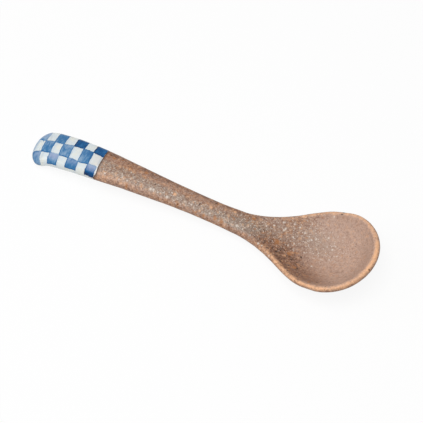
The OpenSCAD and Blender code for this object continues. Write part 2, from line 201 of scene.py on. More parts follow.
class Form:
    """The spoon's surface in millimetres, over two parameters. Turn runs 0 to 1 in the rounding
    of the handle's end, 1 to 2 along the straight and 2 to 3 round the bowl's front. Around
    runs both ways from the middle of the top, over the edges, to the middle below.
    """

    def __init__(self, sizes):
        for name in SpoonSizes.__annotations__:
            setattr(self, name, getattr(sizes, name) / MM)
        self.tip_pole = self.tip_edge_r
        self.front_pole = self.spoon_len - self.rim_r
        self.widest = self.spoon_len - self.front_run
        self.foot_x = self.spoon_len - self.foot_inset
        bowl_half = self.bowl_w / 2
        self.width = self.line(
            (TIP_WIDTH, 0, self.tip_w / 2),
            (NECK_WIDTH, 0, self.neck_w / 2),
            (BOWL_WIDTH, 0, bowl_half),
        ) + [[self.widest, bowl_half], [self.spoon_len, bowl_half]]
        self.hollow = [
            [self.tip_pole, 0],
            *self.line((CROWN, 0, -self.handle_crown), (THROAT + FLOOR, 0, self.bowl_depth)),
            [self.front_pole, 0],
        ]
        self.thick = [
            [self.tip_pole, 2 * self.tip_edge_r],
            *self.line(
                (TIP_THICK, 0, self.tip_t),
                (HANDLE_THICK, 0, self.handle_t),
                (NECK_THICK, 0, self.neck_t),
                (FLOOR_THICK, 0, self.floor_t),
            ),
            [self.front_pole, 2 * self.rim_r],
        ]
        self.edge = self.line(
            (TIP_EDGE, 0, self.tip_edge_r),
            (HANDLE_EDGE, 0, self.edge_r),
            (RIM_EDGE, 0, self.rim_r),
        )
        buried = self.glaze_t + self.rub_t
        tip = self.tip_t / 2 - buried - self.handle_crown / 2
        foot = along(self.hollow, self.foot_x) + along(self.thick, self.foot_x) / 2 - buried
        self.rise = [
            *self.line(
                (TIP_RISE, 0, tip),
                (ARCH_CLIMB, tip, self.arch_rise),
                (NECK_CLIMB, self.neck_rise, self.arch_rise),
                (FOOT_CLIMB, self.neck_rise, foot),
            ),
            [self.foot_x, foot],
            *self.line((RIM_CLIMB, foot, self.rim_rise)),
        ]

    def line(self, *parts):
        """Points of a profile, from shares of the length and of the way from low to high."""
        return [
            [a * self.spoon_len, low + b * (high - low)]
            for shares, low, high in parts
            for a, b in shares
        ]

    def run(self, turn):
        """Distance from the handle's end: a cosine in its rounding, straight, then a sine."""
        tip = 1 - np.cos(np.pi / 2 * np.clip(turn, 0, 1))
        front = np.sin(np.pi / 2 * np.clip(turn - 2, 0, 1))
        return (
            self.tip_pole
            + (self.tip_run - self.tip_pole) * tip
            + (self.widest - self.tip_run) * np.clip(turn - 1, 0, 1)
            + (self.front_pole - self.widest) * front
        )

    def turn(self, x):
        """The turn at a distance from the handle's end."""
        tip = (x - self.tip_pole) / (self.tip_run - self.tip_pole)
        front = (x - self.widest) / (self.front_pole - self.widest)
        return (
            np.arccos(1 - np.clip(tip, 0, 1)) * 2 / np.pi
            + np.clip((x - self.tip_run) / (self.widest - self.tip_run), 0, 1)
            + np.arcsin(np.clip(front, 0, 1)) * 2 / np.pi
        )

    def half(self, turn):
        """Half width of the mid wall, which both ends round off."""
        x = self.run(turn)
        tip, front = np.clip(turn, 0, 1), np.clip(turn - 2, 0, 1)
        ends = np.sin(np.pi / 2 * tip) * np.cos(np.pi / 2 * front)
        return (along(self.width, x) - along(self.edge, x)) * ends

    def mid(self, turn, s):
        """Point of the mid wall, s from -1 at the near edge to 1 at the far edge: it hangs
        below the edge by a power of s.
        """
        x = self.run(turn)
        z = along(self.rise, x) - along(self.hollow, x) * (1 - np.abs(s) ** FLOOR_POWER)
        return np.stack(np.broadcast_arrays(x - self.spoon_len / 2, self.half(turn) * s, z), -1)

    def up(self, turn, s, step=0.001, pole=0.02):
        """Direction square to the mid wall, from its two slopes."""
        a = np.clip(turn, pole, 3 - pole)
        lo, hi = np.clip(s - step, -1, 1), np.clip(s + step, -1, 1)
        ahead = self.mid(a + step, s) - self.mid(a - step, s)
        n = np.cross(ahead, self.mid(a, hi) - self.mid(a, lo))
        return n / np.linalg.norm(n, axis=-1, keepdims=True)

    def out(self, turn, side, step=0.001):
        """Direction out of the edge, square to it and to up, and straight across at both ends."""
        ahead = self.mid(np.clip(turn + step, 0, 3), side)
        way = ahead - self.mid(np.clip(turn - step, 0, 3), side)
        c = np.cross(self.up(turn, side), way) * side[..., None]
        return c / np.linalg.norm(c, axis=-1, keepdims=True)

    def skin(self, turn, around, lift):
        """Points over the whole spoon: over the top at half the thickness from the mid wall,
        round the edge by a half circle, and back below. Lift is the distance outside the even
        glaze.
        """
        turn, around, lift = np.broadcast_arrays(turn, around, lift)
        half = np.maximum(self.half(turn), 1e-6)
        x = self.run(turn)
        r = along(self.edge, x)
        side = np.where(around < 0, -1.0, 1.0)
        past = np.abs(around) - half
        over = past / r
        # From the middle to 1 at the edge, where it stays for the half circle, and back
        back = np.where(over < np.pi, 1, 1 - (past - np.pi * r) / half)
        s = side * np.clip(np.where(past < 0, np.abs(around) / half, back), 0, 1)
        a = np.clip(over, 0, np.pi)[..., None]
        swell = (1 - s * s) ** SWELL_POWER
        reach = r + (along(self.thick, x) / 2 - r) * swell + lift + self.hand(turn, around)
        way = np.cos(a) * self.up(turn, s) + np.sin(a) * self.out(turn, side)
        return self.mid(turn, s) + way * reach[..., None]

    def hand(self, turn, around):
        """Unevenness of hand forming: a sum of shallow sine waves along and round, never
        outside the even surface or the frame's facets.
        """
        x = self.run(turn)
        waves = (
            np.sin(x * TAU / 23 + 0.6)
            + 0.7 * np.sin(x * TAU / 9.7 + np.abs(around) * 0.21 + 2.1)
            + 0.6 * np.sin(around * TAU / 11.3 + x * 0.13)
            + 0.4 * np.sin(x * TAU / 5.3 - around * 0.55 + 1.3)
        )
        return HAND_DEPTH * (waves - WAVES_TOP) - FACET_GAP


def mesh_object(name, points, faces, marks, node, material):
    """A piece from points in millimetres, faces, and marks for its material, in place of a node
    of the frame. Points that no face uses are left out: at a pole the lines share one.
    """
    used = np.zeros(len(points), bool)
    used[np.concatenate(faces)] = True
    number = np.cumsum(used) - 1
    mesh = bpy.data.meshes.new(name)
    mesh.from_pydata((points[used] * MM).tolist(), [], [number[face].tolist() for face in faces])
    for label, values in marks.items():
        made = mesh.attributes.new(label, "FLOAT", "POINT")
        made.data.foreach_set("value", values[used].astype(np.float32))
    mesh.update()
    mesh.shade_smooth()
    mesh.materials.append(material)
    piece = bpy.data.objects.new(name, mesh)
    bpy.context.scene.collection.objects.link(piece)
    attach(piece, "root")
    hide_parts(node)


def both_sides(marks):
    """The marks of a coat's outer points, given to its inner points too."""
    return {name: np.tile(np.ravel(values), 2) for name, values in marks.items()}


class Loop:
    """The lines round the spoon that every coat shares: the middle of the top, then over the
    far edge to the middle below, and back over the near edge. Section 0 is the top, with the
    share of the way from the middle, 1 the edge, with the share of its half circle, and 2 the
    underside, with the share of the way back to the middle.
    """

    TOP, EDGE, UNDER = 26, 14, 22

    def __init__(self, form):
        self.form = form
        shares = [np.arange(n + 1) / n for n in (self.TOP, self.EDGE, self.UNDER)]
        shares = [shares[0][1:], shares[1][1:-1], shares[2]]
        far = [(1, section, share) for section, own in enumerate(shares) for share in own]
        near = [(-1, section, share) for _, section, share in far[-2::-1]]
        self.side, self.section, self.share = np.array([(1, 0, 0), *far, *near]).T
        self.count = len(self.side)

    def around(self, turn):
        """Distance around at every station and line, from a turn for each."""
        half, r = self.form.half(turn), along(self.form.edge, self.form.run(turn))
        top, edge = half * self.share, half + np.pi * r * self.share
        under = half * (1 + self.share) + np.pi * r
        return self.side * np.choose(self.section.astype(int), [top, edge, under])

    def pole_line(self):
        """The line that each line runs into at a pole: the near half folds on the far one."""
        j = np.arange(self.count)
        ends = [np.zeros_like(j), np.minimum(j, self.count - j), np.full_like(j, self.count // 2)]
        return np.choose(self.section.astype(int), ends)

    def numbers(self, stations, poles, start=0):
        """Number of each point, where the lines at a pole share theirs."""
        grid = start + np.arange(stations * self.count).reshape(stations, self.count)
        for i in poles:
            grid[i] = grid[i][self.pole_line()]
        return grid


def skins(grid, flip=False):
    """Quads over a closed band of the grid, and triangles where a side has no length."""
    a, b = grid, np.roll(grid, -1, 1)
    quads = np.stack([a[:-1], b[:-1], b[1:], a[1:]], -1).reshape(-1, 4)
    if flip:
        quads = quads[:, ::-1]
    kept = []
    for quad in quads.tolist():
        face = [n for k, n in enumerate(quad) if n != quad[k - 1]]
        if len(set(face)) > 2:
            kept.append(face)
    return kept


def stations(form, start, end, pitch, tip_steps=16, front_steps=64):
    """Turns from start to end: even steps in both roundings and along the straight, but none
    right beside an end.
    """
    straight = max(2, round((form.widest - form.tip_run) / pitch))
    steps = [np.arange(n) / n for n in (tip_steps, straight, front_steps)]
    every = np.concatenate([steps[0], 1 + steps[1], 2 + steps[2], [3]])
    beside = 0.3 / straight
    inside = every[(every > start + beside) & (every < end - beside)]
    return np.concatenate([[start], inside, [end]])


def soft_step(value):
    """Rises from 0 to 1 with level ends, by 3 squares less 2 cubes."""
    v = np.clip(value, 0, 1)
    return v * v * (3 - 2 * v)


# Width over which the glaze thins out beside the bare clay, in millimetres
BARE_FADE = 0.45


def bare_depth(form, points, around):
    """1 where the clay is bare and 0 under the glaze: two ovals below, with a wandering edge."""
    x, y = points[..., 0] + form.spoon_len / 2, points[..., 1]
    bare = np.zeros(x.shape)
    for place, long, wide in (
        (form.foot_x, form.foot_l, form.foot_w),
        (form.tip_foot_x, form.tip_foot_l, form.tip_foot_w),
    ):
        angle = np.arctan2(y / wide, (x - place) / long)
        size = np.hypot((x - place) / long, y / wide) * 2
        wander = 1 + 0.03 * np.sin(3 * angle + 0.7) + 0.025 * np.sin(7 * angle + 2)
        gap = (size / wander - 1) * min(long, wide) / 2
        bare = np.maximum(bare, 1 - soft_step(gap / BARE_FADE + 0.5))
    # Only below the widest part of the rounded edge
    below = np.abs(around) > form.half(form.turn(x)) + 1.9 * along(form.edge, x)
    return np.where(below, bare, 0)


def seam(around):
    """How far past its even line the white glaze ends, round the handle, in millimetres."""
    return along(SEAM, np.clip(around, SEAM[0][0], SEAM[-1][0]))


def soft_band(value, middle, half_width, fade):
    """1 within half a width of the middle, falling softly to 0 over the fade."""
    return 1 - soft_step((np.abs(value - middle) - half_width) / fade + 0.5)


# Blots of colour in the brown glaze: share, then place and reach along and
# across from the middle of the spoon, in millimetres
GREY_BLOTS = [(0.8, 21, -0.5, 12, 4.5), (0.5, 37, 6, 12, 7), (0.35, 49, 4, 8, 6)]
SPECKLE_BLOTS = [(0.8, 44, 3, 15, 6)]
# Umber blots darken the bowl's near wall by the neck
UMBER_BLOTS = [(0.9, 32, -5, 9, 5), (0.75, 42, -10, 10, 6), (0.6, 51, -14, 9, 3.5)]
MAUVE_GAPS = [(0.6, 46, -12, 12, 7)]
MAUVE_BLOTS = [(0.8, 26, -10, 8, 3)]


def blots(table, x, y):
    """Sum of bell-shaped blots: each is its share at its place and falls off by its reach."""
    return sum(
        share * np.exp(-(((x - along_at) / long) ** 2) - ((y - across_at) / wide) ** 2)
        for share, along_at, across_at, long, wide in table
    )


def zones(form, points, around, turn):
    """Shares from 0 to 1 for the brown glaze's material on the upper side, sums of blots and
    steps: grey where the melt lies thick, umber darker on the bowl's near wall by the neck and
    along the handle's far edge, mauve over the open bowl, lighter there partly as painted light,
    and as painted light along the handle's near side, and tan in a band on the rounded rim, partly
    thinned glaze and partly a painted highlight on the near side.
    """
    x, y = points[..., 0], points[..., 1]
    half = form.half(turn)
    side = np.where(around < 0, -1.0, 1.0)
    # Turn of the rounded edge past the vertical, for the wall leans in a bowl
    lean = np.arccos(np.clip(form.up(turn, side)[..., 2], -1, 1))
    past = (np.abs(around) - half) / along(form.edge, form.run(turn))
    # The near wall is seen almost edge on, so its fade is drawn out most
    near = soft_step(-y / 14)
    over = np.where(past < 0, past / (1.6 + 2.2 * near), past) - lean
    inside = np.clip(1 - np.abs(around + 1.8) / np.maximum(half, 1), 0, 1)
    on_handle = 1 - soft_step((x - 14) / 16)
    on_top = 1 - soft_step((over - 0.1) / 0.9)
    grey = 0.8 * on_handle * soft_step(inside * 1.5) + blots(GREY_BLOTS, x, y)
    speckle = grey + blots(SPECKLE_BLOTS, x, y)
    umber = blots(UMBER_BLOTS, x, y)
    # Darker and more speckled along the handle's far edge
    far_edge = soft_step((y - 0.45 * half) / 3) * (1 - soft_step((x - 18) / 10))
    # Mauve over the open bowl, lighter towards its front: partly the glaze's own colour and partly
    # painted light
    mauve = soft_step((x - 34) / 16) * (1 - blots(MAUVE_GAPS, x, y))
    # Painted light: a lighter mauve strip along the handle's near side
    mauve = mauve + 0.9 * on_handle * soft_step((-y - 0.35 * half) / 2)
    mauve = mauve + blots(MAUVE_BLOTS, x, y)
    # The tan band is partly glaze thinned over the rim and partly a painted highlight: it sits
    # further out on the near side, and the far side has little
    band = soft_band(over, 0.2 + 0.3 * near, 0.6 - 0.2 * near, 1.6 + 0.6 * near)
    wide = soft_step((x - 24 + 8 * near) / 20) * (0.6 + 0.4 * soft_step((9 - y) / 12))
    # Painted highlight: a faint tan strip along the handle's near edge
    wide = np.maximum(wide, 0.3 * soft_step((-5 - x) / 30) * soft_step(-y / 4))
    front = soft_step((x - 58) / 8) * (0.55 + 0.45 * soft_step((12 - y) / 8))
    rim = np.clip(band * np.maximum(wide, front), 0, 1)
    return {
        "mottle": (1 - 0.55 * soft_step((x - 36) / 16) * on_top) * (1 - 0.7 * rim),
        "iron": np.clip(0.25 + (0.62 * umber + 0.4 * far_edge) * on_top, 0, 1),
        "grey": np.clip(grey * on_top, 0, 1),
        "speckle": np.clip(speckle * on_top, 0, 1),
        "umber": np.clip((umber + 0.75 * far_edge) * on_top, 0, 1),
        "mauve": np.clip(mauve * on_top, 0, 1),
        "rim": rim,
    }


def add(tree, kind, inputs=(), **settings):
    """Adds a node: its settings first, then values or links for its inputs, by name or in order
    over those in use. A node given as a value stands for its first output in use.
    """
    made = tree.nodes.new("ShaderNode" + kind)
    for name, value in settings.items():
        setattr(made, name, value)
    in_use = [socket for socket in made.inputs if socket.enabled]
    for key, value in inputs.items() if isinstance(inputs, dict) else enumerate(inputs):
        socket = in_use[key] if isinstance(key, int) else made.inputs[key]
        if isinstance(value, bpy.types.Node):
            value = next(output for output in value.outputs if output.enabled)
        if isinstance(value, bpy.types.NodeSocket):
            tree.links.new(value, socket)
        else:
            whole = socket.type == "RGBA" and len(value) == 3
            socket.default_value = (*value, 1.0) if whole else value
    return made


def new_material(name):
    """An empty material, its nodes, and places in millimetres."""
    made = bpy.data.materials.new(name)
    made.use_nodes = True
    tree = made.node_tree
    tree.nodes.clear()
    coords = add(tree, "TexCoord")
    place = add(tree, "VectorMath", (coords.outputs["Object"], 1 / MM), operation="SCALE")
    return made, tree, place


def surface(tree, base, height, depth, **sockets):
    """A material's shader: a colour, a bump of that depth in millimetres, and constant sockets."""
    bump = add(tree, "Bump", {"Height": height, "Strength": 0.35, "Distance": depth * MM})
    named = {name.replace("_", " "): value for name, value in sockets.items()}
    shader = add(tree, "BsdfPrincipled", {"Base Color": base, "Normal": bump, **named})
    add(tree, "OutputMaterial", {"Surface": shader})


# Single blots, grains and specks that stand out, as places from the middle of
# the spoon in millimetres: along, across and radius
TAN_SPOTS = [(-10.5, -1.3, 0.9), (4.4, -0.3, 0.9), (0.9, -3.2, 0.6), (13.4, 2.3, 0.8)]
RUST_SPOTS = [
    (7.6, -3.4, 1.1), (10.4, -3.6, 1.1), (2.9, -4.1, 0.7), (-24.8, 2.7, 1.0),
    (-38.9, 3.4, 1.0), (-29.4, -5.5, 0.7), (-8.0, -4.3, 0.7), (32.8, -1.7, 1.5),
    (39.1, -4.2, 1.2), (21.1, 2.9, 1.1), (43.7, -10.0, 1.0), (52.0, -15.8, 0.8),
]
PALE_SPOTS = [
    (-20.1, -3.1, 0.75), (-19.0, -2.9, 0.6), (-12.9, -3.4, 0.7), (-29.9, -3.7, 0.5),
    (16.5, -2.9, 0.7), (-32.3, -3.2, 0.4), (-33.1, -4.5, 0.4), (-39.2, -4.4, 0.45),
    (-2.9, -2.4, 0.45), (-5.7, -2.4, 0.4), (4.9, -2.6, 0.45), (22.7, -4.5, 0.55),
    (27.1, -6.5, 0.55), (28.8, -6.9, 0.4), (32.0, 6.6, 0.5), (33.2, 4.1, 0.6),
    (33.6, 4.8, 0.5), (36.1, 7.9, 0.5), (37.6, 3.2, 0.45), (38.4, 7.7, 0.4),
    (41.0, 6.6, 0.45), (44.4, 5.1, 0.5), (50.2, 8.1, 0.5), (49.1, 15.6, 0.4),
    (29.2, 4.0, 0.45), (26.6, 2.3, 0.5), (49.1, -5.9, 0.45), (53.4, 4.2, 0.5),
    (33.0, -9.7, 0.4), (45.9, 6.2, 0.4), (42.3, 10.7, 0.4),
]
DARK_SPOTS = [
    (-40.8, 4.4, 0.5), (-32.8, 3.4, 0.5), (-19.2, -0.6, 0.4), (-15.5, 2.8, 0.5),
    (-0.1, -1.0, 0.5), (5.3, 2.6, 0.5), (-8.1, -4.1, 0.4), (34.4, -6.3, 0.6),
    (43.8, -3.6, 0.6), (41.5, -10.2, 0.5), (41.0, -6.7, 0.5), (38.8, -5.9, 0.5),
    (38.2, -10.2, 0.5), (44.9, -9.8, 0.5), (24.7, 4.7, 0.4), (52.1, 18.0, 0.6),
    (51.7, 16.9, 0.5), (71.4, -4.6, 0.5),
]
# How far the noise moves a spot's edge, in millimetres, and how much of the
# radius is at full strength
RAGGED, FULL = 0.8, 0.35


def spot_mask(tree, place, ragged, spots, share):
    """A share inside any of the spots and 0 outside, whose edges are made ragged by a noise."""
    flat = add(tree, "VectorMath", (place, (1, 1, 0)), operation="MULTIPLY")
    mask = 0.0
    for x, y, radius in spots:
        gap = add(tree, "VectorMath", (flat, (x, y, 0)), operation="DISTANCE")
        grown = add(tree, "Math", (ragged, RAGGED, gap), operation="MULTIPLY_ADD")
        none, full = radius + RAGGED / 2, radius * FULL + RAGGED / 2
        inside = add(tree, "MapRange", (grown, none, full, 0.0, share))
        mask = add(tree, "Math", (mask, inside), operation="MAXIMUM")
    return mask


def grains(tree, place, cells, share, size):
    """1 inside round grains: of the cells, so many to a millimetre, those whose random number
    is under the share have one, up to size cells in radius.
    """
    cell = add(tree, "TexVoronoi", {"Vector": place, "Scale": cells})
    chance = add(tree, "SeparateColor", (cell.outputs["Color"],))
    kept = add(tree, "Math", (chance.outputs[0], share), operation="LESS_THAN")
    own = add(tree, "MapRange", (chance.outputs[1], 0.0, 1.0, 0.5 * size, size))
    inside = add(tree, "MapRange", (cell.outputs["Distance"], own, 0.0, 0.0, 2.0))
    return add(tree, "Math", (kept, inside), operation="MULTIPLY")


def brown_glaze_material(colours):
    """Iron stoneware glaze, dipped and fired in reduction: satin, mottled brown, grey where it
    lies thick and tan where it thins over an edge, with feldspar grains and iron specks.
    """
    made, tree, place = new_material("Iron stoneware glaze, dipped, satin")
    mottle, speckle, iron, meet = (
        add(tree, "Attribute", attribute_name=name).outputs["Fac"]
        for name in ("mottle", "speckle", "iron", "meet")
    )
    # Mottling of the melt, 6 mm, 1.5 mm and 0.6 mm across
    names = ("Vector", "Scale", "Detail", "Roughness")
    wide, close, fine = (
        add(tree, "TexNoise", dict(zip(names, (place, *values))))
        for values in ((0.17, 3.0, 0.5), (0.7, 5.0, 0.7), (1.7, 3.0, 0.6))
    )
    warm = add(tree, "MapRange", (wide, 0.42, 0.66, 0.0, 0.4))
    base = add(tree, "Mix", (warm, colours.brown, colours.rust), data_type="RGBA")
    # Each zone's colour, how much of it comes through, its edge broken by the mottling; mauve and
    # the rim's tan carry painted light along with the glaze's own colour
    for name, shade, share in (
        ("mauve", colours.mauve, 0.9),
        ("grey", colours.grey, 0.75),
        ("umber", colours.umber, 0.75),
        ("rim", colours.tan, 1.0),
    ):
        mark = add(tree, "Attribute", attribute_name=name).outputs["Fac"]
        broken = add(tree, "Math", (close, 1.3, mark), operation="MULTIPLY_ADD")
        here = add(tree, "MapRange", (broken, 0.75, 1.55, 0.0, share))
        base = add(tree, "Mix", (here, base, shade), data_type="RGBA")
    # Salt and pepper of the melt, drawn 0.6 mm across so that they show, and
    # patches of rust 2 mm across with spots of tan, all fainter in the bowl
    rough = {"Vector": place, "Scale": 0.6, "Detail": 3.0, "Distortion": 0.5}
    patches = add(tree, "TexNoise", rough)
    tan_spots = grains(tree, place, 0.45, 0.4, 0.45)
    for noise, none, full, share, shade in (
        (fine, 0.52, 0.7, 0.4, colours.pale),
        (fine, 0.5, 0.34, 0.75, colours.umber),
        (patches, 0.56, 0.68, 0.55, colours.rust),
        (patches, 0.44, 0.32, 0.5, colours.umber),
        (close, 0.5, 0.36, iron, colours.dark),
        (close, 0.54, 0.66, 0.35, colours.tan),
        (tan_spots, 0.0, 1.0, 0.25, colours.tan),
    ):
        mask = add(tree, "MapRange", (noise, none, full, 0.0, share))
        shown = add(tree, "Math", (mask, mottle), operation="MULTIPLY")
        base = add(tree, "Mix", (shown, base, shade), data_type="RGBA")
    # Feldspar grains, fine and coarse, thickest where the melt is grey
    speckled = add(tree, "MapRange", (speckle, 0.05, 0.7, 0.1, 0.7))
    for cells, share, size in ((1.7, 0.5, 0.5), (1.0, 0.12, 0.42)):
        grain = grains(tree, place, cells, share, size)
        shown = add(tree, "Math", (grain, speckled), operation="MULTIPLY")
        base = add(tree, "Mix", (shown, base, colours.pale), data_type="RGBA")
    # Iron specks, thickest in the umber
    specks = grains(tree, place, 0.9, 0.35, 0.4)
    specks = add(tree, "Math", (specks, iron), operation="MULTIPLY")
    for mask, shade in (
        (spot_mask(tree, place, fine, TAN_SPOTS, 0.6), colours.tan),
        (spot_mask(tree, place, fine, RUST_SPOTS, 0.75), colours.rust),
        (spot_mask(tree, place, fine, PALE_SPOTS, 0.85), colours.pale),
        (specks, colours.dark),
        (spot_mask(tree, place, fine, DARK_SPOTS, 0.9), colours.dark),
        # A dark line where the two glazes meet
        (meet, colours.dark),
    ):
        base = add(tree, "Mix", (mask, base, shade), data_type="RGBA")
    height = add(tree, "Math", (close, 0.6, fine), operation="MULTIPLY_ADD")
    surface(tree, base, height, 0.12, Roughness=0.5, IOR=1.5, Specular_IOR_Level=0.3)
    return made


def white_glaze_material(colours):
    """White porcelain-type glaze, dipped and fired glossy: cream where it lies thick, tinted
    beside the cobalt that bleeds into it, and given a painted grey-blue shade round the rounded
    end.
    """
    made, tree, place = new_material("White glaze, dipped, glossy")
    near, end, stain = (
        add(tree, "Attribute", attribute_name=name).outputs["Fac"]
        for name in ("from_line", "end", "stain")
    )
    pool = add(tree, "TexNoise", {"Vector": place, "Scale": 0.35, "Detail": 2.0})
    thick = add(tree, "MapRange", (pool, 0.4, 0.65))
    bleed_and_end_shade = add(tree, "MapRange", (near, 0.8, 0.05, 0.0, 0.3))
    # Painted shade round the rounded end, in the same grey-blue as the bleed
    bleed_and_end_shade = add(tree, "Math", (bleed_and_end_shade, end), operation="MAXIMUM")
    base = colours.white
    for mask, shade in (
        (thick, colours.cream),
        (stain, colours.pale),
        (bleed_and_end_shade, colours.cobalt_pale),
    ):
        base = add(tree, "Mix", (mask, base, shade), data_type="RGBA")
    waves = add(tree, "TexNoise", {"Vector": place, "Scale": 0.5, "Detail": 2.0})
    surface(tree, base, waves, 0.1, Roughness=0.14, IOR=1.5)
    return made


def cobalt_material(colours):
    """Cobalt underglaze, brushed by hand under a glossy glaze: streaks along the stroke, darker
    where the wash pools, and a pale lavender veil of painted reflection over the upper part of
    some squares.
    """
    made, tree, place = new_material("Cobalt underglaze, brushed, glossy")
    wash, milk = (
        add(tree, "Attribute", attribute_name=name).outputs["Fac"] for name in ("wash", "milk")
    )
    # Bristle streaks across the handle, 0.5 mm wide and 3 mm long
    stroke = add(
        tree, "Mapping", {"Vector": place, "Rotation": (0, 0, 0.2), "Scale": (1.9, 0.35, 1.2)}
    )
    streak = add(tree, "TexNoise", {"Vector": stroke, "Scale": 1.0, "Detail": 4.0})
    cloud = add(tree, "TexNoise", {"Vector": place, "Scale": 0.55, "Detail": 3.0})
    amount = add(tree, "Math", (streak, 0.8, wash), operation="MULTIPLY_ADD")
    amount = add(tree, "Math", (cloud, 0.8, amount), operation="MULTIPLY_ADD")
    # The two noises lie round a half, so they add about 0.8 to the wash
    base = colours.cobalt_pale
    for mask, shade in (
        (add(tree, "MapRange", (amount, 0.8, 1.3)), colours.cobalt),
        (add(tree, "MapRange", (amount, 1.15, 1.95)), colours.cobalt_deep),
        (add(tree, "MapRange", (amount, 1.8, 2.4)), colours.cobalt_pool),
        # Painted reflection: a pale lavender veil over the upper part of the squares
        (milk, colours.milk),
    ):
        base = add(tree, "Mix", (mask, base, shade), data_type="RGBA")
    waves = add(tree, "TexNoise", {"Vector": place, "Scale": 0.5, "Detail": 2.0})
    surface(tree, base, waves, 0.1, Roughness=0.14, IOR=1.5, Specular_IOR_Level=0.15)
    return made


def clay_material(colours):
    """Stoneware clay, fired and rubbed on a stone: matte, with grog a shade paler and darker."""
    made, tree, place = new_material("Stoneware clay, fired, rubbed")
    grog = add(tree, "TexNoise", {"Vector": place, "Scale": 1.3, "Detail": 4.0, "Roughness": 0.7})
    pale = add(tree, "MapRange", (grog, 0.3, 0.7, 0.0, 0.6))
    base = add(tree, "Mix", (pale, colours.clay, colours.pale), data_type="RGBA")
    specks = grains(tree, place, 0.8, 0.2, 0.35)
    base = add(tree, "Mix", (specks, base, colours.umber), data_type="RGBA")
    surface(tree, base, grog, 0.1, Roughness=0.85, IOR=1.5)
    return made


# Where each line across drifts from even steps, in squares: far end, near end
FAR_END_DRIFT = [0.05, -0.16, -0.3, -0.24, -0.16, -0.05, 0]
NEAR_END_DRIFT = [-0.06, -0.16, -0.2, -0.16, -0.06, 0.03, 0]
# How far across those two ends are, in millimetres from the middle
FAR_END, NEAR_END = 2.5, -4.0
# How much each line turns towards the handle's end in the far row, from here outward
FAR_BEND, BEND_FROM = [-0.5, -0.25, -0.05, 0, 0, 0, 0], 1.5
# How far the two lines along the handle drift outward: place along, drift
FAR_DRIFT = [[2, -0.6], [9.6, -0.45], [13.1, -0.3], [17.1, 0.35], [25.5, 0.5], [29.4, 0]]
NEAR_DRIFT = [[2, 0.1], [9.6, 0.1], [17.1, 0], [21.6, 0.15], [25.5, -0.3], [29.4, -0.3]]
# How far the near row comes down over the edge, in degrees of its half turn
NEAR_BORDER = [[2, 96], [5, 92], [8, 72], [13.1, 62], [21.6, 54], [25.5, 60], [29.4, 74]]
FAR_BORDER = 100
# Line where the white glaze ends: distance around, place past the even line
SEAM = [
    [-18, 0], [-12, -0.1], [-7.1, -0.44], [-5.6, 0.19], [-3, -0.05], [1.9, -0.05],
    [5.8, -0.28], [12, 0.1], [18, 0],
]


def lines_across(paint, y):
    """Distance from the handle's end to the line that ends each course, at each distance
    across, in millimetres: even steps, a drift that changes evenly across, and a bend in the
    far row.
    """
    share = np.clip((y - NEAR_END) / (FAR_END - NEAR_END), 0, 1.6)
    far, near, bend = (
        np.resize(drift, paint.courses).reshape(-1, *[1] * np.ndim(y))
        for drift in (FAR_END_DRIFT, NEAR_END_DRIFT, FAR_BEND)
    )
    steps = np.arange(paint.courses).reshape(far.shape) + near + (far - near) * share
    return (paint.first + paint.pitch * steps) / MM + bend * np.maximum(y - BEND_FROM, 0)


def cap_end(paint):
    """Even line where the white glaze ends, in millimetres from the handle's end."""
    return (paint.first + (paint.courses - 1) * paint.pitch + paint.margin) / MM


def line_along(paint, side, x):
    """Distance from the middle of the line beside the middle row, in millimetres."""
    even, drift = (paint.row_far, FAR_DRIFT) if side > 0 else (paint.row_near, NEAR_DRIFT)
    return even / MM + along(drift, np.clip(x, drift[0][0], drift[-1][0]))


# The white glaze ends this far past the even line, over the brown that ends before it
CAP_OVER, CAP_UNDER = 0.06, 0.12
# How far from a coat's end its closest stations are and the others start, in millimetres
END_GAPS, REST_GAP = np.array([0, 0.03, 0.09, 0.18, 0.3, 0.5, 0.8]), 1.2
# How deep a coat's inner side lies in what it covers, and how much deeper still
# where the clay is bare
SINK, BARE_SINK = 0.05, 0.12
# Least heights of a coat's two sides, and how much higher where the clay is bare
LEAST_OUTER, LEAST_INNER, LEAST_BARE = 0.02, 0.08, 0.06
ROWS = ["near", "middle", "far"]


def spoon():
    """The spoon's form, from the sizes in the scene."""
    return Form(bpy.context.scene.spoon_sizes)


def coat_turns(form, cap, way, fade, rest):
    """Turns over a coat whose end at cap wanders with the seam, which fades away from there, and
    each station's gap from that end. Way is 1 on the bowl's side of the end and -1 on the other.
    """
    turn = np.sort(np.concatenate([form.turn(cap + way * END_GAPS), rest]))[:, None]
    gap = way * (form.run(turn) - cap)
    loop = Loop(form)
    turn = np.repeat(turn, loop.count, 1)
    wander = seam(loop.around(turn)) * np.exp(-gap / fade)
    on_straight = (turn > 1) & (turn < 2)
    return np.where(on_straight, form.turn(form.run(turn) + wander), turn), gap


def coat(form, turn, lift, pole_first):
    """A coat's outer and inner points over the shared lines, its closed faces, and the outer
    points' distances around. One end is a pole and the other a narrow rim.
    """
    loop = Loop(form)
    around = loop.around(turn)
    bare = bare_depth(form, form.skin(turn, around, 0.0), around)
    depth = form.glaze_t + SINK
    outer = form.skin(turn, around, lift - bare * (depth + lift))
    inner = form.skin(turn, around, -depth - bare * BARE_SINK)
    # Rubbed flat, just above the clay that it stands on
    for points, least in ((outer, LEAST_OUTER), (inner, LEAST_INNER)):
        points[..., 2] = np.maximum(points[..., 2], least + LEAST_BARE * bare)
    poles = [0 if pole_first else len(turn) - 1]
    above = loop.numbers(len(turn), poles)
    below = loop.numbers(len(turn), poles, above.size)
    rim = [above[-1], below[-1]] if pole_first else [below[0], above[0]]
    faces = skins(above) + skins(below, flip=True) + skins(np.stack(rim))
    points = np.concatenate([outer.reshape(-1, 3), inner.reshape(-1, 3)])
    return points, faces, around, outer


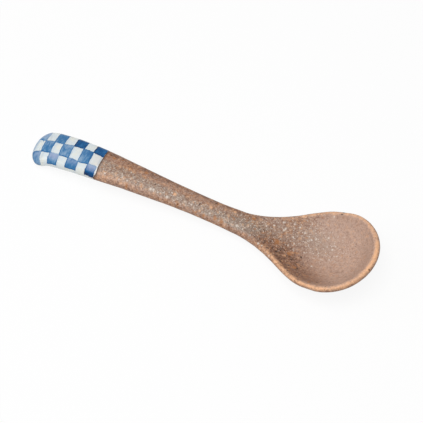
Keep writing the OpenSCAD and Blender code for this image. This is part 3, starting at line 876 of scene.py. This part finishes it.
class SPOON_OT_clay(bpy.types.Operator):
    """Forms the clay of the spoon, rubbed flat where it stands"""

    bl_idname = "spoon.clay"
    bl_label = "Form the clay"

    def execute(self, context):
        form = spoon()
        loop = Loop(form)
        turn = np.repeat(stations(form, 0.0, 3.0, 0.6)[:, None], loop.count, 1)
        around = loop.around(turn)
        points = form.skin(turn, around, -form.glaze_t)
        points[..., 2] = np.maximum(points[..., 2], 0)
        faces = skins(loop.numbers(len(turn), [0, len(turn) - 1]))
        mesh_object(
            "stoneware_clay", points.reshape(-1, 3), faces, {}, "stoneware_body",
            clay_material(context.scene.spoon_colours),
        )
        return {"FINISHED"}


def end_lift(gap, width=0.34, drop=0.3):
    """Lift near the end of a coat: a quarter round that falls by drop over its last width."""
    near = np.clip(1 - gap / width, 0, 1)
    return -drop * (1 - np.sqrt(1 - near * near))


class SPOON_OT_brown_glaze(bpy.types.Operator):
    """Lays the iron glaze over the bowl and the handle"""

    bl_idname = "spoon.brown_glaze"
    bl_label = "Lay the brown glaze"

    def execute(self, context):
        form, paint = spoon(), context.scene.spoon_paint
        cap = cap_end(paint) - CAP_UNDER
        rest = stations(form, float(form.turn(cap + REST_GAP)), 3.0, 0.55)
        turn, gap = coat_turns(form, cap, 1, 5, rest)
        points, faces, around, outer = coat(form, turn, end_lift(gap), pole_first=False)
        marks = zones(form, outer, around, turn)
        # Dark beside the white glaze, over about half a millimetre
        marks["meet"] = np.broadcast_to(0.85 * np.exp(-(((gap - 0.15) / 0.55) ** 2)), around.shape)
        mesh_object(
            "iron_glaze", points, faces, both_sides(marks), "brown_glaze",
            brown_glaze_material(context.scene.spoon_colours),
        )
        return {"FINISHED"}


class SPOON_OT_white_glaze(bpy.types.Operator):
    """Dips the handle's end in white glaze"""

    bl_idname = "spoon.white_glaze"
    bl_label = "Dip the white glaze"

    def execute(self, context):
        form, paint = spoon(), context.scene.spoon_paint
        cap = cap_end(paint) + CAP_OVER
        rest = stations(form, 0.0, float(form.turn(cap - REST_GAP)), 0.4, 24)
        turn, gap = coat_turns(form, cap, -1, 3, rest)
        points, faces, around, outer = coat(form, turn, end_lift(gap), pole_first=True)
        x, y = outer[..., 0] + form.spoon_len / 2, outer[..., 1]
        by_line = np.abs(x - lines_across(paint, y)).min(0)
        rows = [np.abs(y * side - line_along(paint, side, x)) for side in (-1, 1)]
        # The painting ends on the rounded sides, so nothing bleeds below
        past = (np.abs(around) - form.half(turn)) / along(form.edge, form.run(turn))
        near = np.minimum(by_line, np.minimum(*rows)) + soft_step((past - 1.2) / 0.5)
        # Painted shade: a grey-blue tint over the rounded end
        end = 0.9 * (1 - soft_step((x - 0.9) / 1.4))
        # The white turns a little greyer towards the brown
        stain = 0.45 * soft_step((x - 23) / 6)
        marks = both_sides({"from_line": near, "end": end, "stain": stain})
        mesh_object(
            "white_glaze_end", points, faces, marks, "white_glaze",
            white_glaze_material(context.scene.spoon_colours),
        )
        return {"FINISHED"}


# The brush's load in each square, by course and row: how deep the wash is from
# 0 to 1, how much deeper it gets along and towards the near side, this last partly
# pooling and partly painted shade where the near row turns down over the edge,
# and how strong the painted reflection is over its upper part
LOADS = {
    (1, "far"): (0.15, 0.2, 0.0, 0.6), (1, "near"): (0.3, -0.4, 0.2, 0.25),
    (2, "middle"): (0.4, -0.05, 0.1, 0.05), (3, "far"): (0.5, 0.2, -0.15, 0.0),
    (3, "near"): (0.28, 0.0, 0.6, 0.55), (4, "middle"): (0.3, 0.05, 0.1, 0.05),
    (5, "far"): (1.1, -0.25, 0.0, 0.0), (5, "near"): (0.5, 0.1, 0.4, 0.25),
    (6, "middle"): (0.5, 0.45, -0.35, 0.05), (7, "far"): (1.05, -0.3, 0.1, 0.0),
    (7, "near"): (0.85, 0.0, 1.65, 0.5),
}
# Points along each side of a square
PATCH = 26
# How far across each row reaches, for the tilt of the lines that bound its squares
ROW_SPANS = {"near": (-7, -3.7), "middle": (-3.7, 1.7), "far": (1.7, 6.7)}
# How far the last course runs on past its line, in millimetres
LAST_PAST = {"near": -0.2, "far": 0.4}
# No square comes closer to the white glaze's end than this, in millimetres
LEAST_GAP = 0.02
# How wide the paint's rounded border is and how deep its foot lies in the glaze
PAINT_ROUND, PAINT_FOOT = 0.2, 0.012


def edge_wander(paint, seed, t):
    """How far a painted line wanders along its length: two slow waves of its own."""
    waves = 0.6 * np.sin(t * 5.1 + seed * 1.7) + 0.4 * np.sin(t * 11.7 + seed * 2.9)
    return paint.uneven / MM * waves


def row_line(form, turn, side, across):
    """Distance around to the line at a distance from the middle, found among even steps over
    the top and the edge, and none where the handle is narrower.
    """
    steps = np.linspace(0, 1, 160)
    half, r = form.half(turn), along(form.edge, form.run(turn))
    around = side * steps[None, :] * (half + r * np.pi / 2)[:, None]
    y = np.abs(form.skin(turn[:, None], around, 0.0)[..., 1])
    y = np.maximum.accumulate(y, axis=1)
    hit = np.argmax(y >= across[:, None], axis=1)
    found = y[:, -1] >= across
    return np.where(found, np.take_along_axis(np.abs(around), hit[:, None], 1)[:, 0], np.nan)


def square_turns(form, paint, course, row):
    """Turns over a square, from the line before its course to the line after it."""
    u = np.linspace(0, 1, PATCH)
    spread = paint.spread / MM
    low, high = ROW_SPANS[row]
    lines = lines_across(paint, low + (high - low) * u)
    end = lines[course - 1] + spread
    if course == paint.courses:
        end = end + LAST_PAST[row]
    if course > 1:
        start = lines[course - 2] - spread
        return form.turn(start + (end - start) * u[:, None])
    # The first course starts where the handle is wide enough for its row
    side = 1 if row == "far" else -1
    last = form.turn(end)
    probe = np.linspace(0.02, float(last[0]), 120)
    found = row_line(form, probe, side, line_along(paint, side, form.run(probe)))
    first = probe[np.argmax(~np.isnan(found))]
    return first + (last - first) * (u * (2 - u))[:, None]


def row_bounds(form, paint, row, turn):
    """Distances around to the two lines along the handle that a row lies between."""
    x = form.run(turn)
    near, far = (row_line(form, turn, side, line_along(paint, side, x)) for side in (-1, 1))
    if row == "middle":
        return -near, far
    down = np.radians(along(NEAR_BORDER, x) if row == "near" else FAR_BORDER)
    border = form.half(turn) + along(form.edge, x) * down
    if row == "near":
        return -border, -np.where(np.isnan(near), border, near)
    return np.where(np.isnan(far), border, far), border


def patch_faces():
    """Closed faces over a square's outer points and the inner points below them."""
    top = np.arange(PATCH * PATCH).reshape(PATCH, PATCH)
    ring = np.concatenate([top[0, :-1], top[:-1, -1], top[-1, :0:-1], top[:0:-1, 0]])
    after = np.roll(ring, -1)
    wall = np.stack([ring, ring + top.size, after + top.size, after], -1)
    quads = np.stack([top[:-1, :-1], top[:-1, 1:], top[1:, 1:], top[1:, :-1]], -1).reshape(-1, 4)
    return np.concatenate([quads, quads[:, ::-1] + top.size, wall]).tolist()


def square(form, paint, course, row):
    """One painted square: a thin closed patch on the glaze between two lines across and two
    along, whose borders wander. Returns points, faces and marks.
    """
    seed = course * 3 + ROWS.index(row)
    u = v = np.linspace(0, 1, PATCH)
    spread, pitch = paint.spread / MM, paint.pitch / MM
    turn = square_turns(form, paint, course, row)
    low, high = row_bounds(form, paint, row, turn[:, PATCH // 2])
    low = low - spread + edge_wander(paint, seed, u * 2)
    high = high + spread + edge_wander(paint, seed + 1.3, u * 2)
    width = (high - low)[:, None]
    around = low[:, None] + width * v
    starts = edge_wander(paint, seed + 5, v * 2) * (1 - u[:, None])
    ends = edge_wander(paint, seed + 8, v * 2) * u[:, None]
    if course > 1:
        turn = form.turn(form.run(turn) + starts + ends)
    gap = cap_end(paint) + CAP_OVER + seam(around) - form.run(turn)
    turn = np.where(gap < LEAST_GAP, form.turn(form.run(turn) + gap - LEAST_GAP), turn)
    fall = end_lift(np.maximum(gap, LEAST_GAP))
    # Distances from the borders, where the paint rounds off
    from_start = u[:, None] * pitch
    from_near = v * np.abs(width)
    by_across = np.minimum(from_near, np.abs(width) - from_near)
    edge = np.minimum(np.minimum(from_start, pitch - from_start), by_across)
    lift = paint.lift / MM * np.sqrt(np.clip(edge / PAINT_ROUND, 0, 1)) - PAINT_FOOT
    outer = form.skin(turn, around, lift + fall)
    inner = form.skin(turn, around, fall - SINK)
    # The wash pools along the borders, most where each stroke starts
    wash, ahead, near_side, milk = LOADS[(course, row)]
    pooled = 0.2 * (1 - soft_step(edge / 0.45))
    pooled = pooled + 0.4 * (1 - soft_step(np.minimum(from_start, from_near) / 0.55))
    # Deeper along the stroke, and towards the near side partly by pooling and partly as painted
    # shade where the near row turns down
    slope = ahead * (u[:, None] - 0.5) + near_side * (0.5 - v)
    # Painted reflection: a pale veil over the square's upper part, away from its borders
    upper = soft_step((v - 0.35) / 0.4) * soft_step(edge / 0.7)
    marks = {"wash": wash + slope + pooled, "milk": milk * upper}
    points = np.concatenate([outer.reshape(-1, 3), inner.reshape(-1, 3)])
    return points, patch_faces(), both_sides(marks)


class SPOON_OT_cobalt(bpy.types.Operator):
    """Paints the courses of cobalt squares on the white glaze"""

    bl_idname = "spoon.cobalt"
    bl_label = "Paint the chequer"

    def execute(self, context):
        form, paint = spoon(), context.scene.spoon_paint
        material = cobalt_material(context.scene.spoon_colours)
        for course in range(1, paint.courses + 1):
            rows = ("far", "near") if course % 2 else ("middle",)
            points, faces, marks = zip(*(square(form, paint, course, row) for row in rows))
            starts = np.cumsum([0] + [len(p) for p in points])
            mesh_object(
                f"cobalt_squares_{course}",
                np.concatenate(points),
                [[n + start for n in f] for start, own in zip(starts, faces) for f in own],
                {k: np.concatenate([m[k] for m in marks]) for k in marks[0]},
                f"cobalt_course_{course}", material,
            )
        return {"FINISHED"}


# The photograph's view: degrees round and above, distance and aim in millimetres
VIEW_ROUND, VIEW_ABOVE = 25.0314, 56.5
VIEW_FAR = 700.0
VIEW_AIM = (4.455, 0.0, 4.35)
LENS, SENSOR = 154.18, 36.0
# Lamps: name, place and side in metres, power in watts
LAMPS = [
    ("overhead_softbox", (-0.02, -0.10, 0.55), 0.42, 2.3),
    ("left_fill", (-0.5, -0.25, 0.35), 0.4, 0.8),
]
# Brightness of the room, and the share of the floor that shows as plain white
ROOM_LIGHT, FLOOR_WHITE = 0.3, 0.9
# Half the floor's side in metres
FLOOR_HALF = 3.0


class SPOON_OT_stage(bpy.types.Operator):
    """Sets up the floor, the lights and the camera"""

    bl_idname = "spoon.stage"
    bl_label = "Set the stage"

    def execute(self, context):
        scene = context.scene
        scene.view_settings.view_transform = "Standard"
        self.floor(scene)
        self.world(scene)
        for name, place, side, power in LAMPS:
            self.lamp(scene, name, place, side, power)
        self.camera(scene)
        return {"FINISHED"}

    def seen(self, tree):
        """1 for rays that show the background: from the camera, in gloss and through glass."""
        path = add(tree, "LightPath")
        shown = path.outputs["Is Camera Ray"]
        for kind in ("Is Glossy Ray", "Is Transmission Ray"):
            shown = add(tree, "Math", (shown, path.outputs[kind]), operation="MAXIMUM")
        return shown

    def floor(self, scene):
        """A pale floor that shows near white to the camera and keeps a soft shadow."""
        made = bpy.data.materials.new("Studio paper, matte")
        made.use_nodes = True
        tree = made.node_tree
        tree.nodes.clear()
        paper = add(tree, "BsdfDiffuse", {"Color": scene.spoon_colours.floor})
        glow = add(tree, "Emission", {"Color": (1, 1, 1, 1), "Strength": 1.0})
        part = add(tree, "Math", (self.seen(tree), FLOOR_WHITE), operation="MULTIPLY")
        mix = add(tree, "MixShader", (part, paper, glow))
        add(tree, "OutputMaterial", {"Surface": mix})
        mesh = bpy.data.meshes.new("studio_floor")
        sides = ((-1, -1), (1, -1), (1, 1), (-1, 1))
        corners = [(x * FLOOR_HALF, y * FLOOR_HALF, 0) for x, y in sides]
        mesh.from_pydata(corners, [], [(0, 1, 2, 3)])
        mesh.materials.append(made)
        floor = bpy.data.objects.new("studio_floor", mesh)
        scene.collection.objects.link(floor)

    def world(self, scene):
        """White behind everything for the camera, and a dim grey room for the light."""
        world = bpy.data.worlds.new("studio_room")
        scene.world = world
        world.use_nodes = True
        tree = world.node_tree
        tree.nodes.clear()
        room = add(tree, "Background", {"Color": (1, 1, 1, 1), "Strength": ROOM_LIGHT})
        back = add(tree, "Background", {"Color": (1, 1, 1, 1), "Strength": 1.0})
        mix = add(tree, "MixShader", (self.seen(tree), room, back))
        add(tree, "OutputWorld", {"Surface": mix})

    def lamp(self, scene, name, place, side, power):
        """A square soft lamp that points at the spoon."""
        data = bpy.data.lights.new(name, "AREA")
        data.shape = "SQUARE"
        data.size = side
        data.energy = power
        lamp = bpy.data.objects.new(name, data)
        lamp.location = place
        lamp.rotation_euler = Vector(place).to_track_quat("Z", "Y").to_euler()
        scene.collection.objects.link(lamp)

    def camera(self, scene):
        """The camera at the photograph's view, with no shift."""
        a, e = math.radians(VIEW_ROUND), math.radians(VIEW_ABOVE)
        back = Vector((math.sin(a) * math.cos(e), -math.cos(a) * math.cos(e), math.sin(e)))
        data = bpy.data.cameras.new("photo_camera")
        data.lens, data.sensor_width = LENS, SENSOR
        data.clip_start, data.clip_end = 0.01, 20.0
        camera = bpy.data.objects.new("photo_camera", data)
        camera.location = Vector(VIEW_AIM) * MM + back * (VIEW_FAR * MM)
        right = Vector((math.cos(a), math.sin(a), 0))
        up = back.cross(right)
        camera.rotation_euler = Matrix((right, up, back)).transposed().to_euler()
        scene.collection.objects.link(camera)
        scene.camera = camera


class SPOON_PT_panel(bpy.types.Panel):
    """The spoon's steps, sizes and colours"""

    bl_label = "Ceramic Spoon"
    bl_idname = "SPOON_PT_panel"
    bl_space_type = "VIEW_3D"
    bl_region_type = "UI"
    bl_category = "Spoon"

    def draw(self, context):
        for step in STEPS:
            self.layout.operator(step.bl_idname)
        for group in ("spoon_sizes", "spoon_paint", "spoon_colours"):
            box = self.layout.box()
            held = getattr(context.scene, group)
            for name in type(held).__annotations__:
                box.prop(held, name)


STEPS = (
    SPOON_OT_clay, SPOON_OT_brown_glaze, SPOON_OT_white_glaze, SPOON_OT_cobalt, SPOON_OT_stage
)
GROUPS = {"spoon_sizes": SpoonSizes, "spoon_paint": SpoonPaint, "spoon_colours": SpoonColours}


def register():
    """Registers the classes and hangs the properties on the scene."""
    for made in (*GROUPS.values(), *STEPS, SPOON_PT_panel):
        bpy.utils.register_class(made)
    for name, group in GROUPS.items():
        setattr(bpy.types.Scene, name, PointerProperty(type=group))


def unregister():
    """Takes everything off again."""
    for name in GROUPS:
        delattr(bpy.types.Scene, name)
    for made in (SPOON_PT_panel, *reversed(STEPS), *GROUPS.values()):
        bpy.utils.unregister_class(made)


def main():
    register()
    for step in STEPS:
        group, name = step.bl_idname.split(".")
        getattr(getattr(bpy.ops, group), name)()


if __name__ == "__main__":
    main()
